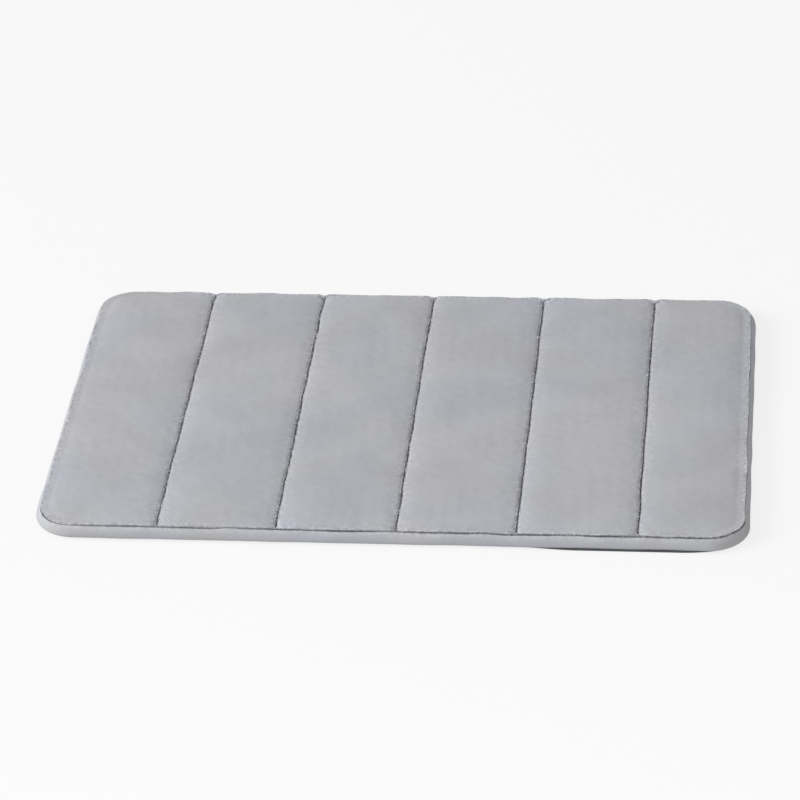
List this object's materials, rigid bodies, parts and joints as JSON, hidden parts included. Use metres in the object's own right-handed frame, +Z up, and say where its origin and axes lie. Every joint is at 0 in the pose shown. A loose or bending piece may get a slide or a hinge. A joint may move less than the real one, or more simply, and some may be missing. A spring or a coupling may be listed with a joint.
{
  "type": "bath mat",
  "caption": "Foam bath mat in pale grey short-pile velvet, quilted into padded panels by sewn channels, with a side band and a dotted non-slip backing.",
  "frame": {"origin": "centre of the mat's underside, on the surface that it lies on", "axes": "+X along the long side to the right, +Y towards the back edge, +Z up"},
  "size_m": [0.6, 0.4, 0.015],
  "materials": {
    "cover_velvet": "soft short-pile velvet with a cloudy nap, matt",
    "band_velvet": "the same short-pile velvet laid flat round the side, matt",
    "foam": "open-cell memory foam, matt, sealed inside the cover",
    "non_slip_backing": "knitted backing cloth with raised rubbery dots",
    "thread": "twisted polyester sewing thread"
  },
  "bodies": {
    "panel_1": {"top_cover_1": "cover_velvet", "foam_core_1": "foam", "backing_1": "non_slip_backing", "side_band_left": "band_velvet", "edge_thread_left": "thread", "channel_thread_1": "thread"},
    "panel_2": {"top_cover_2": "cover_velvet", "foam_core_2": "foam", "backing_2": "non_slip_backing", "side_band_front_2": "band_velvet", "side_band_back_2": "band_velvet", "edge_thread_front_2": "thread", "edge_thread_back_2": "thread", "channel_thread_2": "thread"},
    "panel_3": {"top_cover_3": "cover_velvet", "foam_core_3": "foam", "backing_3": "non_slip_backing", "side_band_front_3": "band_velvet", "side_band_back_3": "band_velvet", "edge_thread_front_3": "thread", "edge_thread_back_3": "thread", "channel_thread_3": "thread"},
    "panel_4": {"top_cover_4": "cover_velvet", "foam_core_4": "foam", "backing_4": "non_slip_backing", "side_band_front_4": "band_velvet", "side_band_back_4": "band_velvet", "edge_thread_front_4": "thread", "edge_thread_back_4": "thread", "channel_thread_4": "thread"},
    "panel_5": {"top_cover_5": "cover_velvet", "foam_core_5": "foam", "backing_5": "non_slip_backing", "side_band_front_5": "band_velvet", "side_band_back_5": "band_velvet", "edge_thread_front_5": "thread", "edge_thread_back_5": "thread", "channel_thread_5": "thread"},
    "panel_6": {"top_cover_6": "cover_velvet", "foam_core_6": "foam", "backing_6": "non_slip_backing", "side_band_right": "band_velvet", "edge_thread_right": "thread"}
  },
  "joints": [
    {"name": "fold_1", "type": "hinge", "parent": "panel_2", "child": "panel_1", "pos_m": [-0.194, 0, 0.004], "axis": [0, 1, 0], "range_deg": [0, 50]},
    {"name": "fold_2", "type": "hinge", "parent": "panel_3", "child": "panel_2", "pos_m": [-0.0935, 0, 0.004], "axis": [0, 1, 0], "range_deg": [0, 50]},
    {"name": "fold_3", "type": "hinge", "parent": "panel_3", "child": "panel_4", "pos_m": [0.007, 0, 0.004], "axis": [0, -1, 0], "range_deg": [0, 50]},
    {"name": "fold_4", "type": "hinge", "parent": "panel_4", "child": "panel_5", "pos_m": [0.1075, 0, 0.004], "axis": [0, -1, 0], "range_deg": [0, 50]},
    {"name": "fold_5", "type": "hinge", "parent": "panel_5", "child": "panel_6", "pos_m": [0.208, 0, 0.004], "axis": [0, -1, 0], "range_deg": [0, 50]}
  ]
}
